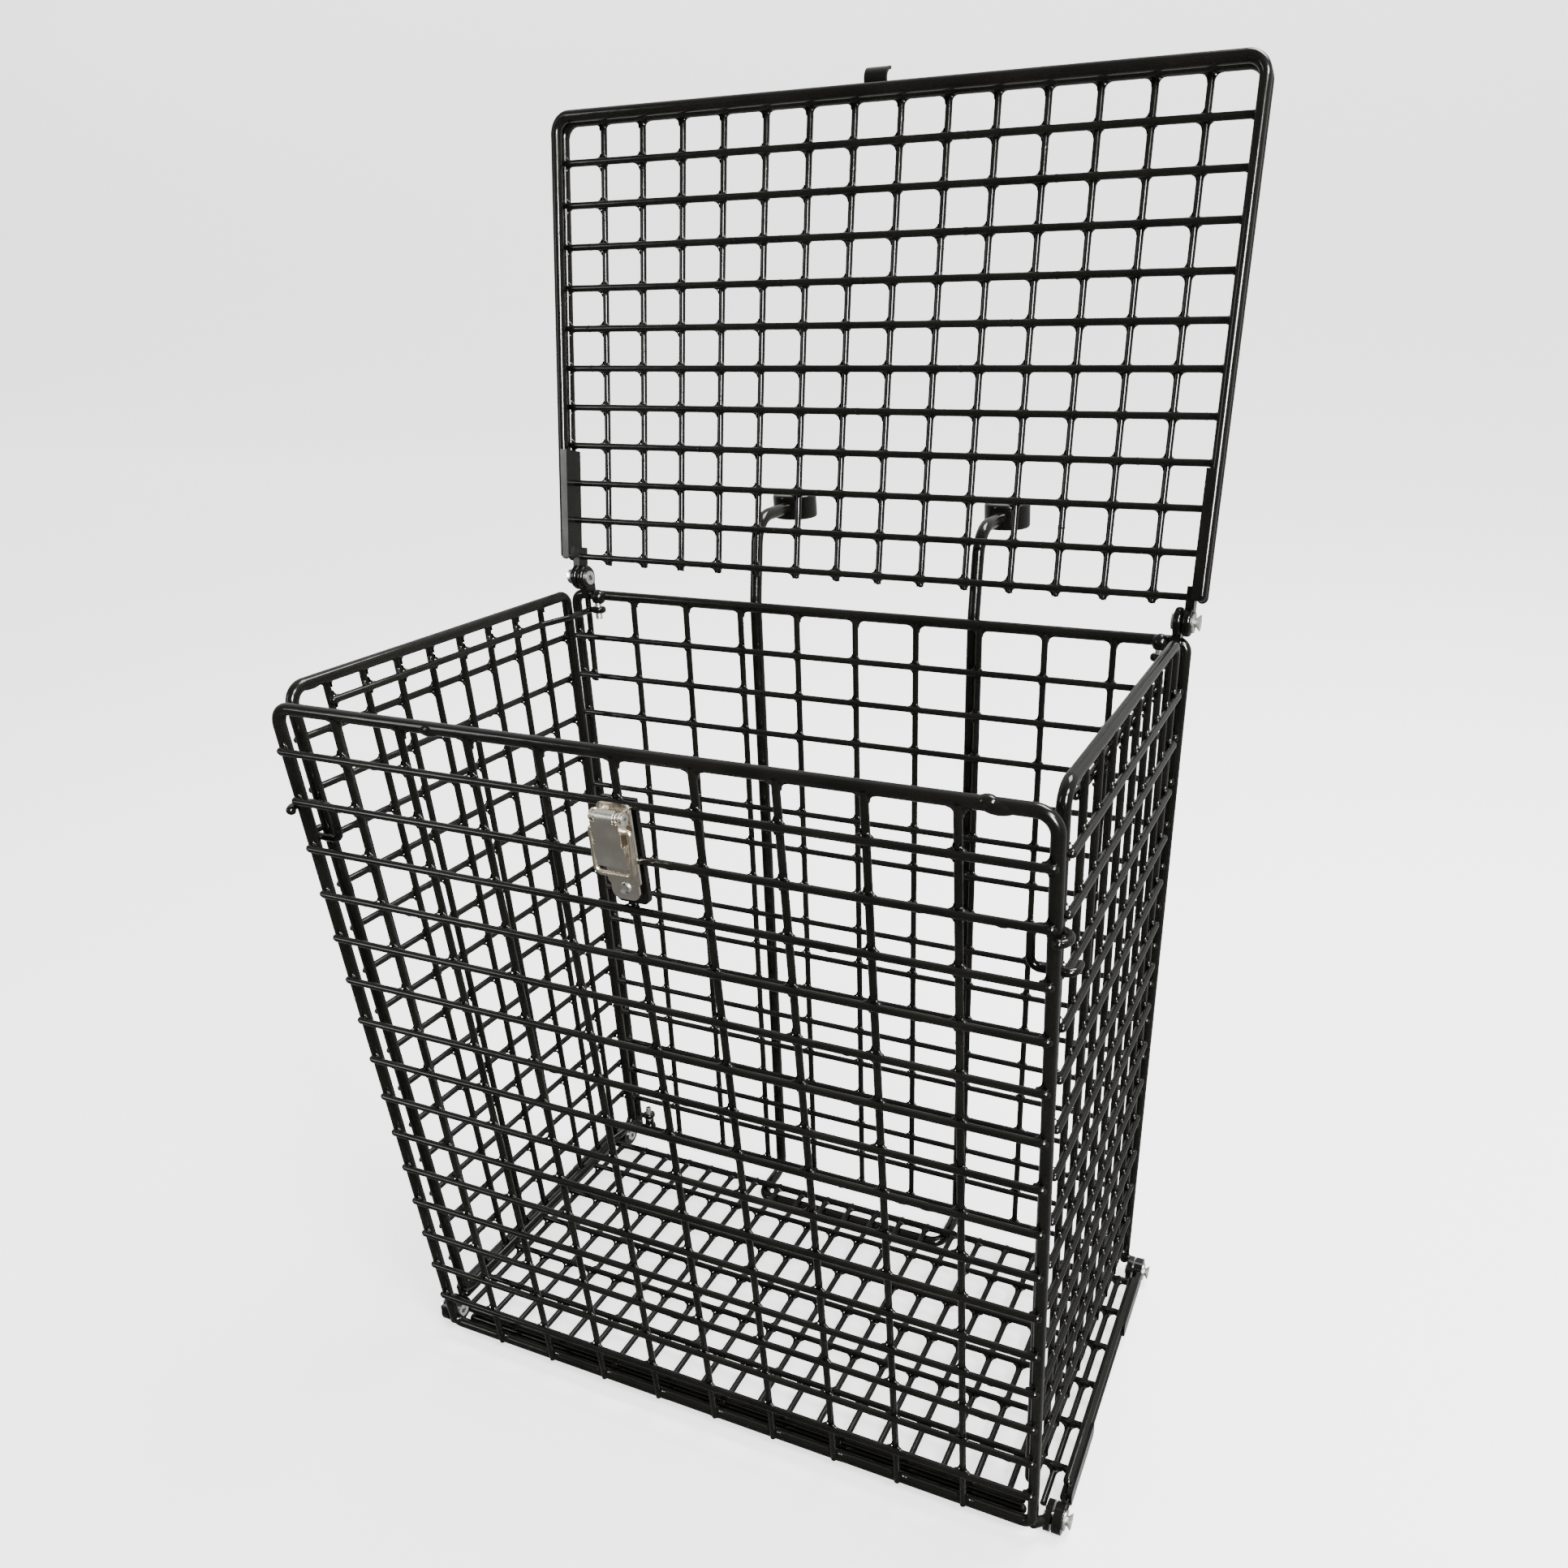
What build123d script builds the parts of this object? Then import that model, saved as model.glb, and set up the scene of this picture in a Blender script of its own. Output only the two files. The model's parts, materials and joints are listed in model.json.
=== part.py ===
from build123d import *
import math
import os

os.makedirs("parts", exist_ok=True)

# Datum of the cage: depth is counted back from the front frame rod, height up from its lower rail
FRONT = -150.9
BASE = 11.2

# Stock
ROD = 3.0
WIRE = 1.8
LAP = 4.2
UPRIGHT_LAP = 1.8
EAR = 8.0
LID_EAR = 7.5
RIVET = 2.45
BORE = 2.5
HANGER = 3.5

# Front panel
HALF = 190.5
TOP = 402.2
ROW = 25.4
TOP_GAP = 20.6
COLUMN = 38.1

# Back panel, leaning back
BACK_DEPTH = 203.5
LEAN = 0.085
BACK_LEFT = -197.5
BACK_RIGHT = 191.3
BACK_FOOT = 191.3
STUB_LEFT = -187.3
STUB_RIGHT = 184.6
BACK_TOP = 403.1
BACK_ROW = 24.76
BACK_GAP = 25.4
BACK_COLUMN = 38.25

# Side panels
SIDE_X = 188.8
SIDE_FRONT_LOW = {1: 185.0, -1: 190.3}
SIDE_FRONT_TOP = {1: 188.8, -1: 193.6}
SIDE_FRONT = 12.0
SIDE_REAR_TOP = 217.0
SIDE_REAR_LOW = 193.5
SIDE_TOP = 407.0
SIDE_LOW = 14.2
SIDE_ROW = 26.2
SIDE_GAP = 26.0
PIN_X = 178.0
RING_TOP = 395.2
RING_LOW = 18.0
PIN = 2.0

# Lid, standing open
LID_TURN = math.radians(77.2)
AXIS_DEPTH = 236.0
AXIS_HEIGHT = 414.0
LID_START = 12.5
LID_DROP = 1.5
LID_LENGTH = 238.4
LID_HALF = 197.0
LID_LIP = 7.0

# Floor panel
FLOOR_X = 202.0
FLOOR_FRONT_X = 182.0
FLOOR_FRONT = 7.2
FLOOR_REAR = 183.0
FLOOR_HEIGHT = -2.3
FLOOR_LIP = 8.2
HINGE_HEIGHT = -3.2
FRONT_HINGE = 10.0
REAR_HINGE = 197.0

# Corner catches
CATCH_END = {1: 197.4, -1: 201.6}

# Toggle latch
LATCH_X = 0.5
PIVOT_DEPTH = -11.0
PIVOT_HEIGHT = 378.0
BAIL_DEPTH = -11.2
BAIL_HEIGHT = 372.4
LEVER_HALF = 7.7
LOW_END = (Align.CENTER, Align.CENTER, Align.MIN)


def at(x, depth, height):
    return Vector(x, FRONT + depth, BASE + height)


def back_at(x, height, inward=0.0):
    return at(x, BACK_DEPTH + LEAN * height - inward, height)


def lid_at(x, along, toward_cage=0.0):
    run = LID_START + along
    off = toward_cage - LID_DROP
    depth = AXIS_DEPTH + run * math.cos(LID_TURN) - off * math.sin(LID_TURN)
    height = AXIS_HEIGHT + run * math.sin(LID_TURN) + off * math.cos(LID_TURN)
    return at(x, depth, height)


def side_rear(height):
    share = (height - SIDE_LOW) / (SIDE_TOP - SIDE_LOW)
    return SIDE_REAR_LOW + share * (SIDE_REAR_TOP - SIDE_REAR_LOW)


def back_left(height):
    """Where the back panel's left rod stands: it leans outward toward the top."""
    return -BACK_FOOT + (BACK_LEFT + BACK_FOOT) * height / BACK_TOP


def side_x(side, depth, height):
    """Distance of a side panel from the middle; its front edge is slightly sprung."""
    up = (height - SIDE_LOW) / (SIDE_TOP - SIDE_LOW)
    back = (depth - SIDE_FRONT) / (side_rear(height) - SIDE_FRONT)
    front = SIDE_FRONT_LOW[side] + (SIDE_FRONT_TOP[side] - SIDE_FRONT_LOW[side]) * up
    return side * (front + (SIDE_X - front) * back)


def bar(start, end, radius, mode=Mode.ADD):
    with Locations(Plane(origin=start, z_dir=end - start).location):
        Cylinder(radius, (end - start).length, align=LOW_END, mode=mode)


def ball(centre, radius):
    with Locations(Location(centre)):
        Sphere(radius)


def bent_rod(points, bends, radius):
    with BuildLine() as path:
        here = points[0]
        for corner, after, bend in zip(points[1:], points[2:], bends):
            to_here = (here - corner).normalized()
            to_after = (after - corner).normalized()
            half = math.radians(to_here.get_angle(to_after)) / 2
            reach = bend / math.tan(half)
            middle = (to_here + to_after).normalized() * (bend / math.sin(half) - bend)
            Line(here, corner + to_here * reach)
            ThreePointArc(corner + to_here * reach, corner + middle, corner + to_after * reach)
            here = corner + to_after * reach
        Line(here, points[-1])
    with BuildSketch(Plane(origin=path.line @ 0, z_dir=path.line % 0)) as section:
        Circle(radius)
    sweep(section.sketch, path=path.line)


def disc(x_from, x_to, depth, height, radius, mode=Mode.ADD):
    bar(at(x_from, depth, height), at(x_to, depth, height), radius, mode)


def round_disc(plane, thickness, radius, edge):
    """A disc standing on a plane, with both its edges rounded over."""
    with BuildPart(mode=Mode.PRIVATE) as blank:
        Cylinder(radius, thickness, align=LOW_END)
        fillet(blank.edges().filter_by(GeomType.CIRCLE), edge)
    with Locations(plane.location):
        add(blank.part)


def save(part, name):
    part.label = name
    export_step(part, "parts/" + name + ".step")


def closed_frame(corners, bends, radius):
    """A rod bent into a rectangle, butt welded in the middle of its lower rail."""
    low_left, top_left, top_right, low_right = corners
    middle = (low_left + low_right) * 0.5
    along = (low_right - low_left).normalized()
    points = [middle - along * 0.2, low_left, top_left, top_right, low_right, middle + along * 0.2]
    bent_rod(points, bends, radius)
    bar(middle - along * 2.5, middle + along * 2.5, radius + 0.2)


# ---------------------------------------------------------------- floor panel
def floor_frame():
    with BuildPart() as edge:
        bar(at(-FLOOR_FRONT_X, FLOOR_FRONT, FLOOR_HEIGHT), at(FLOOR_FRONT_X, FLOOR_FRONT, FLOOR_HEIGHT), ROD)
        for side in (-1, 1):
            bar(at(side * FLOOR_X, 22, FLOOR_HEIGHT), at(side * FLOOR_X, FLOOR_REAR + 3, FLOOR_HEIGHT), ROD)
            ball(at(side * FLOOR_X, 22, FLOOR_HEIGHT), ROD)
            ball(at(side * FLOOR_X, FLOOR_REAR + 3, FLOOR_HEIGHT), ROD)
            ball(at(side * FLOOR_FRONT_X, FLOOR_FRONT, FLOOR_HEIGHT), ROD)
    save(edge.part, "floor_edge_rod")
    with BuildPart() as lip:
        height = FLOOR_HEIGHT + FLOOR_LIP
        rear = FLOOR_REAR - 6
        bar(at(-FLOOR_FRONT_X, FLOOR_FRONT, height), at(FLOOR_FRONT_X, FLOOR_FRONT, height), 2.6)
        for side in (-1, 1):
            bar(at(side * FLOOR_X, 26, height), at(side * FLOOR_X, rear, height), 2.6)
            ball(at(side * FLOOR_X, 26, height), 2.6)
            ball(at(side * FLOOR_X, rear, height), 2.6)
            ball(at(side * FLOOR_FRONT_X, FLOOR_FRONT, height), 2.6)
            for depth in (40, 105, 165):
                bar(at(side * FLOOR_X, depth, FLOOR_HEIGHT + 2), at(side * FLOOR_X, depth, height - 1), 1.6)
        for x in (-150, -75, 0, 75, 150):
            bar(at(x, FLOOR_FRONT, FLOOR_HEIGHT + 2), at(x, FLOOR_FRONT, height - 1), 1.6)
    save(lip.part, "floor_lip_rod")
    with BuildPart() as rail:
        height = FLOOR_HEIGHT + 0.6
        bar(at(-FLOOR_X, FLOOR_REAR, height), at(FLOOR_X, FLOOR_REAR, height), 2.2)
    save(rail.part, "floor_rear_rail")


def floor_mesh():
    pitch = 19.2
    low = FLOOR_HEIGHT + 0.2
    with BuildPart() as long_wires:
        for k in range(-10, 11):
            first = 14 if abs(k) == 10 else FLOOR_FRONT - 1
            bar(at(k * pitch, first, low), at(k * pitch, FLOOR_REAR + 2, low), WIRE)
    save(long_wires.part, "floor_long_wires")
    step = (FLOOR_REAR - FLOOR_FRONT) / 6
    with BuildPart() as cross_wires:
        for row in range(1, 6):
            depth = FLOOR_FRONT + row * step
            bar(at(-FLOOR_X - 1.5, depth, low + 2.9), at(FLOOR_X + 1.5, depth, low + 2.9), WIRE)
    save(cross_wires.part, "floor_cross_wires")


def floor_straps():
    """Flat straps on the edge rods that carry the outer hinge ears."""
    for name, hinge, away in (("floor_front_straps", FRONT_HINGE, 1), ("floor_rear_straps", REAR_HINGE, -1)):
        with BuildPart() as straps:
            for side in (-1, 1):
                middle = at(side * 204.6, hinge + away * 33, FLOOR_HEIGHT + 2.8)
                with Locations(Location(middle)):
                    Box(3.0, 48, 10.6)
                fillet(straps.edges().filter_by(Axis.X).group_by(Axis.X)[0 if side < 0 else -1], 2.2)
                disc(side * 199.7, side * 204.7, hinge, HINGE_HEIGHT, EAR)
                inner_end = at(side * 203.2, hinge + away * 12, FLOOR_HEIGHT)
                bar(at(side * 202.4, hinge, HINGE_HEIGHT), inner_end, 2.6)
                disc(side * 198, side * 208, hinge, HINGE_HEIGHT, BORE, Mode.SUBTRACT)
                disc(side * 198, side * 199.7, hinge, HINGE_HEIGHT, EAR + 4, Mode.SUBTRACT)
        save(straps.part, name)


def rivet(side, inner, outer, depth, height):
    """Tubular rivet: flat head inside, flared tail outside."""
    disc(side * (inner - 1.2), side * (outer + 1.0), depth, height, RIVET)
    disc(side * (inner - 1.3), side * (inner - 0.1), depth, height, 4.1)
    flare = Plane(origin=at(side * (outer + 1.0), depth, height), z_dir=(side, 0, 0))
    with Locations(flare.location):
        Cone(RIVET, 4.4, 1.9, align=LOW_END)
    disc(side * (inner - 2), side * (outer + 4), depth, height, 1.75, Mode.SUBTRACT)


def washer(side, outer, depth, height):
    disc(side * outer, side * (outer + 0.9), depth, height, 5.4)
    disc(side * (outer - 1), side * (outer + 2), depth, height, BORE, Mode.SUBTRACT)


def hinge_hardware():
    with BuildPart() as rivets:
        for side in (-1, 1):
            for depth in (FRONT_HINGE, REAR_HINGE):
                rivet(side, 195.3, 205.8, depth, HINGE_HEIGHT)
    save(rivets.part, "floor_hinge_rivets")
    with BuildPart() as washers:
        for side in (-1, 1):
            for depth in (FRONT_HINGE, REAR_HINGE):
                washer(side, 205.0, depth, HINGE_HEIGHT)
    save(washers.part, "floor_hinge_washers")
    with BuildPart() as lid_rivets:
        for side in (-1, 1):
            rivet(side, 184.2, 194.8, AXIS_DEPTH, AXIS_HEIGHT)
    save(lid_rivets.part, "lid_hinge_rivets")
    with BuildPart() as lid_washers:
        for side in (-1, 1):
            washer(side, 193.9, AXIS_DEPTH, AXIS_HEIGHT)
    save(lid_washers.part, "lid_hinge_washers")


# ---------------------------------------------------------------- front panel
def front_panel():
    with BuildPart() as frame:
        corners = [at(-HALF, 0, 0), at(-HALF, 0, TOP), at(HALF, 0, TOP), at(HALF, 0, 0)]
        closed_frame(corners, [6, 9, 9, 6], ROD)
    save(frame.part, "front_frame_rod")
    with BuildPart() as cross:
        for row in range(15):
            height = TOP - TOP_GAP - row * ROW
            bar(at(-HALF + 1.0, -LAP, height), at(HALF - 1.0, -LAP, height), WIRE)
    save(cross.part, "front_cross_wires")
    with BuildPart() as upright:
        for k in range(-4, 5):
            bar(at(k * COLUMN, -UPRIGHT_LAP, -1.8), at(k * COLUMN, -UPRIGHT_LAP, TOP - 1), WIRE)
    save(upright.part, "front_upright_wires")
    with BuildPart() as ears:
        for side in (-1, 1):
            disc(side * 195.2, side * 198.6, FRONT_HINGE, HINGE_HEIGHT, EAR)
            bar(at(side * 191, 0, 0.6), at(side * 197.3, 7, -2.4), 2.8)
            ball(at(side * 191, 0, 0.6), 2.8)
            disc(side * 193, side * 201, FRONT_HINGE, HINGE_HEIGHT, BORE, Mode.SUBTRACT)
            disc(side * 186, side * 195.2, FRONT_HINGE, HINGE_HEIGHT, 5.2, Mode.SUBTRACT)
    save(ears.part, "front_hinge_ears")


def latch_mounting():
    low = 334.0
    high = TOP - TOP_GAP + 2.0
    with BuildPart() as strip:
        with Locations(Location(at(LATCH_X, -1.9, (low + high) / 2))):
            Box(17, 2.6, high - low)
        fillet(strip.edges().filter_by(Axis.Y).group_by(Axis.Z)[0], 3.0)
    save(strip.part, "front_latch_strip")
    with BuildPart() as rivets:
        for height in (370, 343):
            bar(at(LATCH_X, 0.2, height), at(LATCH_X, -7.4, height), 1.5)
            bar(at(LATCH_X, -7.1, height), at(LATCH_X, -7.9, height), 2.6)
            bar(at(LATCH_X, -0.6, height), at(LATCH_X, 0.6, height), 3.0)
    save(rivets.part, "latch_rivets")


def latch_base():
    with BuildPart() as base:
        with BuildSketch(Plane(origin=at(LATCH_X, -5.95, 0), x_dir=(1, 0, 0), z_dir=(0, -1, 0))):
            with Locations((0, 363.5)):
                RectangleRounded(16.5, 38, 2)
            with Locations((0, 347.5)):
                RectangleRounded(14, 20, 4)
        extrude(amount=1.2)
        for side in (-1, 1):
            ear_foot = at(LATCH_X + side * 5.4 - 0.6, 0, 0)
            with BuildSketch(Plane(origin=ear_foot, x_dir=(0, 1, 0), z_dir=(1, 0, 0))):
                with Locations((PIVOT_DEPTH, PIVOT_HEIGHT)):
                    Circle(2.6)
                with Locations((-8.9, PIVOT_HEIGHT - 1.4)):
                    Rectangle(4.2, 6.4)
            extrude(amount=1.2)
        disc(LATCH_X - 15, LATCH_X + 15, PIVOT_DEPTH, PIVOT_HEIGHT, 1.56, Mode.SUBTRACT)
    save(base.part, "latch_base")
    with BuildPart() as pin:
        disc(LATCH_X - 8.2, LATCH_X + 8.2, PIVOT_DEPTH, PIVOT_HEIGHT, 1.5)
        for side in (-1, 1):
            disc(LATCH_X + side * 7.8, LATCH_X + side * 8.5, PIVOT_DEPTH, PIVOT_HEIGHT, 2.3)
        disc(LATCH_X - 9, LATCH_X + 9, PIVOT_DEPTH, PIVOT_HEIGHT, 0.9, Mode.SUBTRACT)
    save(pin.part, "latch_pivot")


def latch_lever():
    """Channel: humped and tapering front face with two cheeks that straddle the base ears."""
    plane = Plane(origin=(LATCH_X - LEVER_HALF, 0, 0), x_dir=(0, 1, 0), z_dir=(1, 0, 0))
    pivot = (FRONT + PIVOT_DEPTH, BASE + PIVOT_HEIGHT)
    tip = (FRONT - 13.0, BASE + 355.6)
    shoulder = (pivot[0] - 3.6, pivot[1] - 1.4)
    crown = (pivot[0] - 0.4, pivot[1] + 3.5)
    wall = 0.9
    with BuildPart() as lever:
        with BuildSketch(plane):
            with BuildLine():
                Line(tip, shoulder)
                ThreePointArc(shoulder, (pivot[0] - 2.9, pivot[1] + 2.2), crown)
                Line(crown, (crown[0], crown[1] - wall))
                ThreePointArc((crown[0], crown[1] - wall), (pivot[0] - 2.2, pivot[1] + 1.6),
                              (shoulder[0] + wall, shoulder[1]))
                Line((shoulder[0] + wall, shoulder[1]), (tip[0] + wall, tip[1]))
                Line((tip[0] + wall, tip[1]), tip)
            make_face()
        extrude(amount=2 * LEVER_HALF)
        for side in (-1, 1):
            with Locations(Location(at(LATCH_X + side * (4.4 + 3), PIVOT_DEPTH, PIVOT_HEIGHT + 3.6))):
                Box(6, 12, 10, mode=Mode.SUBTRACT)
        for side in (-1, 1):
            with BuildSketch(plane.offset(LEVER_HALF + side * (LEVER_HALF - wall / 2) - wall / 2)):
                with Locations(pivot):
                    Circle(3.3)
                with BuildLine():
                    Polyline((tip[0] + 0.2, tip[1] + 6), (pivot[0] - 3.3, pivot[1] - 1.2),
                             (pivot[0] + 2.2, pivot[1] - 2.0), (pivot[0] + 1.9, pivot[1] - 8.2),
                             (tip[0] + 0.2, tip[1] + 6))
                make_face()
            extrude(amount=wall)
        for side in (-1, 1):
            with BuildSketch(Plane(origin=at(LATCH_X, -30, 0), x_dir=(1, 0, 0), z_dir=(0, 1, 0))):
                with BuildLine():
                    Polyline((side * 6.4, -366), (side * 9, -366), (side * 9, -386), (side * 7.8, -386),
                             (side * 6.4, -366))
                make_face()
            extrude(amount=40, mode=Mode.SUBTRACT)
        disc(LATCH_X - 20, LATCH_X + 20, PIVOT_DEPTH, PIVOT_HEIGHT, 1.56, Mode.SUBTRACT)
        disc(LATCH_X - 20, LATCH_X + 20, BAIL_DEPTH, BAIL_HEIGHT, 1.26, Mode.SUBTRACT)
    save(lever.part, "latch_lever")


def latch_bail():
    with BuildPart() as bail:
        low = BAIL_HEIGHT - 20.4
        points = [at(LATCH_X - 6.3, BAIL_DEPTH, BAIL_HEIGHT), at(LATCH_X - 9.9, BAIL_DEPTH, BAIL_HEIGHT),
                  at(LATCH_X - 9.4, BAIL_DEPTH - 1, low), at(LATCH_X + 9.4, BAIL_DEPTH - 1, low),
                  at(LATCH_X + 9.9, BAIL_DEPTH, BAIL_HEIGHT), at(LATCH_X + 6.3, BAIL_DEPTH, BAIL_HEIGHT)]
        bent_rod(points, [1.4, 3.2, 3.2, 1.4], 1.2)
    save(bail.part, "latch_bail")


def corner_catch(side, name):
    """Bent wire: finger loop inside the corner, one end curled round the front rod, one end outside."""
    reach = 6.0
    high, low = 351.4, 333.0
    with BuildPart() as catch:
        tip = [at(side * (HALF + reach * math.cos(math.radians(a))), reach * math.sin(math.radians(a)), high)
               for a in (-62, 12, 90)]
        with BuildLine() as curl:
            ThreePointArc(*tip)
        with BuildSketch(Plane(origin=curl.line @ 0, z_dir=curl.line % 0)) as section:
            Circle(1.9)
        sweep(section.sketch, path=curl.line)
        points = [tip[2], at(side * 179.3, reach, high), at(side * 179.3, reach, low),
                  at(side * CATCH_END[side], reach, low), at(side * CATCH_END[side], 14, low)]
        bent_rod(points, [4.5, 4.5, 3.5], 1.9)
        ball(tip[0], 2.3)
        ball(at(side * CATCH_END[side], 14, low), 1.9)
    save(catch.part, name)


# ---------------------------------------------------------------- back panel
def back_panel():
    with BuildPart() as frame:
        low = -2.0
        points = [back_at(-BACK_FOOT, low), back_at(BACK_LEFT, BACK_TOP),
                  back_at(BACK_RIGHT, BACK_TOP), back_at(BACK_FOOT, low)]
        bent_rod(points, [6, 6], ROD)
        for side in (-1, 1):
            ball(back_at(side * BACK_FOOT, low), ROD)
    save(frame.part, "back_frame_rod")
    heights = [BACK_TOP - BACK_GAP - BACK_ROW * row for row in range(16)]
    with BuildPart() as cross:
        for height in heights:
            bar(back_at(back_left(height) + 1.0, height, LAP), back_at(BACK_RIGHT - 1.0, height, LAP), WIRE)
    save(cross.part, "back_cross_wires")
    with BuildPart() as upright:
        for k in range(-4, 5):
            low = back_at(k * BACK_COLUMN, heights[-1] - 2, UPRIGHT_LAP)
            bar(low, back_at(k * BACK_COLUMN, BACK_TOP - 1, UPRIGHT_LAP), WIRE)
    save(upright.part, "back_upright_wires")
    with BuildPart() as stubs:
        for x in (STUB_LEFT, STUB_RIGHT):
            bar(back_at(x, heights[1] - 3, UPRIGHT_LAP), back_at(x, BACK_TOP - 1, UPRIGHT_LAP), WIRE)
    save(stubs.part, "back_stub_wires")


def back_lugs():
    with BuildPart() as ears:
        for side in (-1, 1):
            ear = Plane(origin=at(side * 184.2, AXIS_DEPTH, AXIS_HEIGHT), z_dir=(side, 0, 0))
            round_disc(ear, 4.5, LID_EAR, 1.8)
            with Locations(Location(at(side * 186.45, AXIS_DEPTH + 0.8, AXIS_HEIGHT - 7.5))):
                Box(4.5, 9, 9)
            disc(side * 182, side * 190, AXIS_DEPTH, AXIS_HEIGHT, BORE, Mode.SUBTRACT)
    save(ears.part, "back_lid_ears")
    with BuildPart() as lower:
        for side in (-1, 1):
            disc(side * 195.2, side * 198.6, REAR_HINGE, HINGE_HEIGHT, EAR)
            bar(back_at(side * 191, -0.5), at(side * 197.3, REAR_HINGE + 4.5, -1.5), 2.9)
            disc(side * 193, side * 201, REAR_HINGE, HINGE_HEIGHT, BORE, Mode.SUBTRACT)
            disc(side * 186, side * 195.2, REAR_HINGE, HINGE_HEIGHT, 5.2, Mode.SUBTRACT)
    save(lower.part, "back_lower_ears")
    with BuildPart() as bosses:
        for side in (-1, 1):
            ball(back_at(side * PIN_X, BACK_TOP - 0.4, 3.2), 4.6)
            bar(back_at(side * PIN_X, BACK_TOP, LAP), back_at(side * PIN_X, 399.6, LAP), 3.2)
            ball(back_at(side * PIN_X, 8.0, LAP), 4.4)
            bar(back_at(side * PIN_X, 8.0, LAP), back_at(side * PIN_X, 14.2, LAP), 3.2)
    save(bosses.part, "back_pin_bosses")
    with BuildPart() as pins:
        for side in (-1, 1):
            bar(back_at(side * PIN_X, 401, LAP), back_at(side * PIN_X, 389.5, LAP), PIN)
            bar(back_at(side * PIN_X, 391.5, LAP), back_at(side * PIN_X, 388.5, LAP), 1.0, Mode.SUBTRACT)
            bar(back_at(side * PIN_X, 12, LAP), back_at(side * PIN_X, 24.5, LAP), PIN)
            bar(back_at(side * PIN_X, 21.5, LAP), back_at(side * PIN_X, 25, LAP), 1.2, Mode.SUBTRACT)
    save(pins.part, "back_hinge_pins")


def hanger():
    outside = -(ROD + HANGER - 0.3)
    with BuildPart() as rod:
        points = []
        for side in (-1, 1):
            arm = [at(side * 70, 292, 452), at(side * 70, 255, 452), back_at(side * 70, 404, outside),
                   back_at(side * 70, -7.7, outside), at(side * 70, 177.0, -7.7)]
            points += arm if side < 0 else arm[::-1]
        bent_rod(points, [18, 60, 10, 9, 9, 10, 60, 18], HANGER)
    save(rod.part, "hanger_rod")
    with BuildPart() as pucks:
        for side in (-1, 1):
            with Locations(Location(at(side * 70, 303, 452))):
                Cylinder(13.5, 14)
        fillet(pucks.edges().filter_by(GeomType.CIRCLE), 1.6)
    save(pucks.part, "hanger_pucks")


# ---------------------------------------------------------------- side panels
def side_at(side, depth, height, outward=0.0):
    return at(side_x(side, depth, height) + side * outward, depth, height)


def side_panel(side, tag):
    with BuildPart() as frame:
        corners = [side_at(side, SIDE_FRONT, SIDE_LOW), side_at(side, SIDE_FRONT, SIDE_TOP),
                   side_at(side, SIDE_REAR_TOP, SIDE_TOP), side_at(side, SIDE_REAR_LOW, SIDE_LOW)]
        closed_frame(corners, [7, 9, 5, 7], ROD)
    save(frame.part, tag + "_frame_rod")
    with BuildPart() as cross:
        for row in range(14):
            height = SIDE_TOP - SIDE_GAP - row * SIDE_ROW
            front = side_at(side, SIDE_FRONT + 1.0, height, LAP)
            bar(front, side_at(side, side_rear(height) - 1.0, height, LAP), WIRE)
    save(cross.part, tag + "_cross_wires")
    with BuildPart() as upright:
        for k in range(1, 9):
            low_depth = SIDE_FRONT + (SIDE_REAR_LOW - SIDE_FRONT) * k / 9
            high_depth = SIDE_FRONT + (SIDE_REAR_TOP - SIDE_FRONT) * k / 9
            low = side_at(side, low_depth, SIDE_LOW - 1.5, UPRIGHT_LAP)
            bar(low, side_at(side, high_depth, SIDE_TOP - 1, UPRIGHT_LAP), WIRE)
    save(upright.part, tag + "_upright_wires")
    with BuildPart() as hinge_wires:
        for height, first in ((RING_TOP, 34.0), (RING_LOW, 150.0)):
            pin = BACK_DEPTH + LEAN * height - LAP
            rear = side_rear(height)
            points = [side_at(side, first, height, -1.2), side_at(side, rear - 27, height, -1.2),
                      at(side * 183.0, rear - 7, height), at(side * 182.5, pin - 1, height)]
            bent_rod(points, [8, 8], WIRE)
            ball(points[0], WIRE)
            ring = Plane(origin=back_at(side * PIN_X, height - 2.0, LAP), z_dir=back_at(0, 1) - back_at(0, 0))
            round_disc(ring, 4.0, 4.5, 1.6)
        for height in (RING_TOP, RING_LOW):
            bore_start = back_at(side * PIN_X, height - 6, LAP)
            bar(bore_start, back_at(side * PIN_X, height + 6, LAP), PIN + 0.07, Mode.SUBTRACT)
    save(hinge_wires.part, tag + "_hinge_wires")


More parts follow.
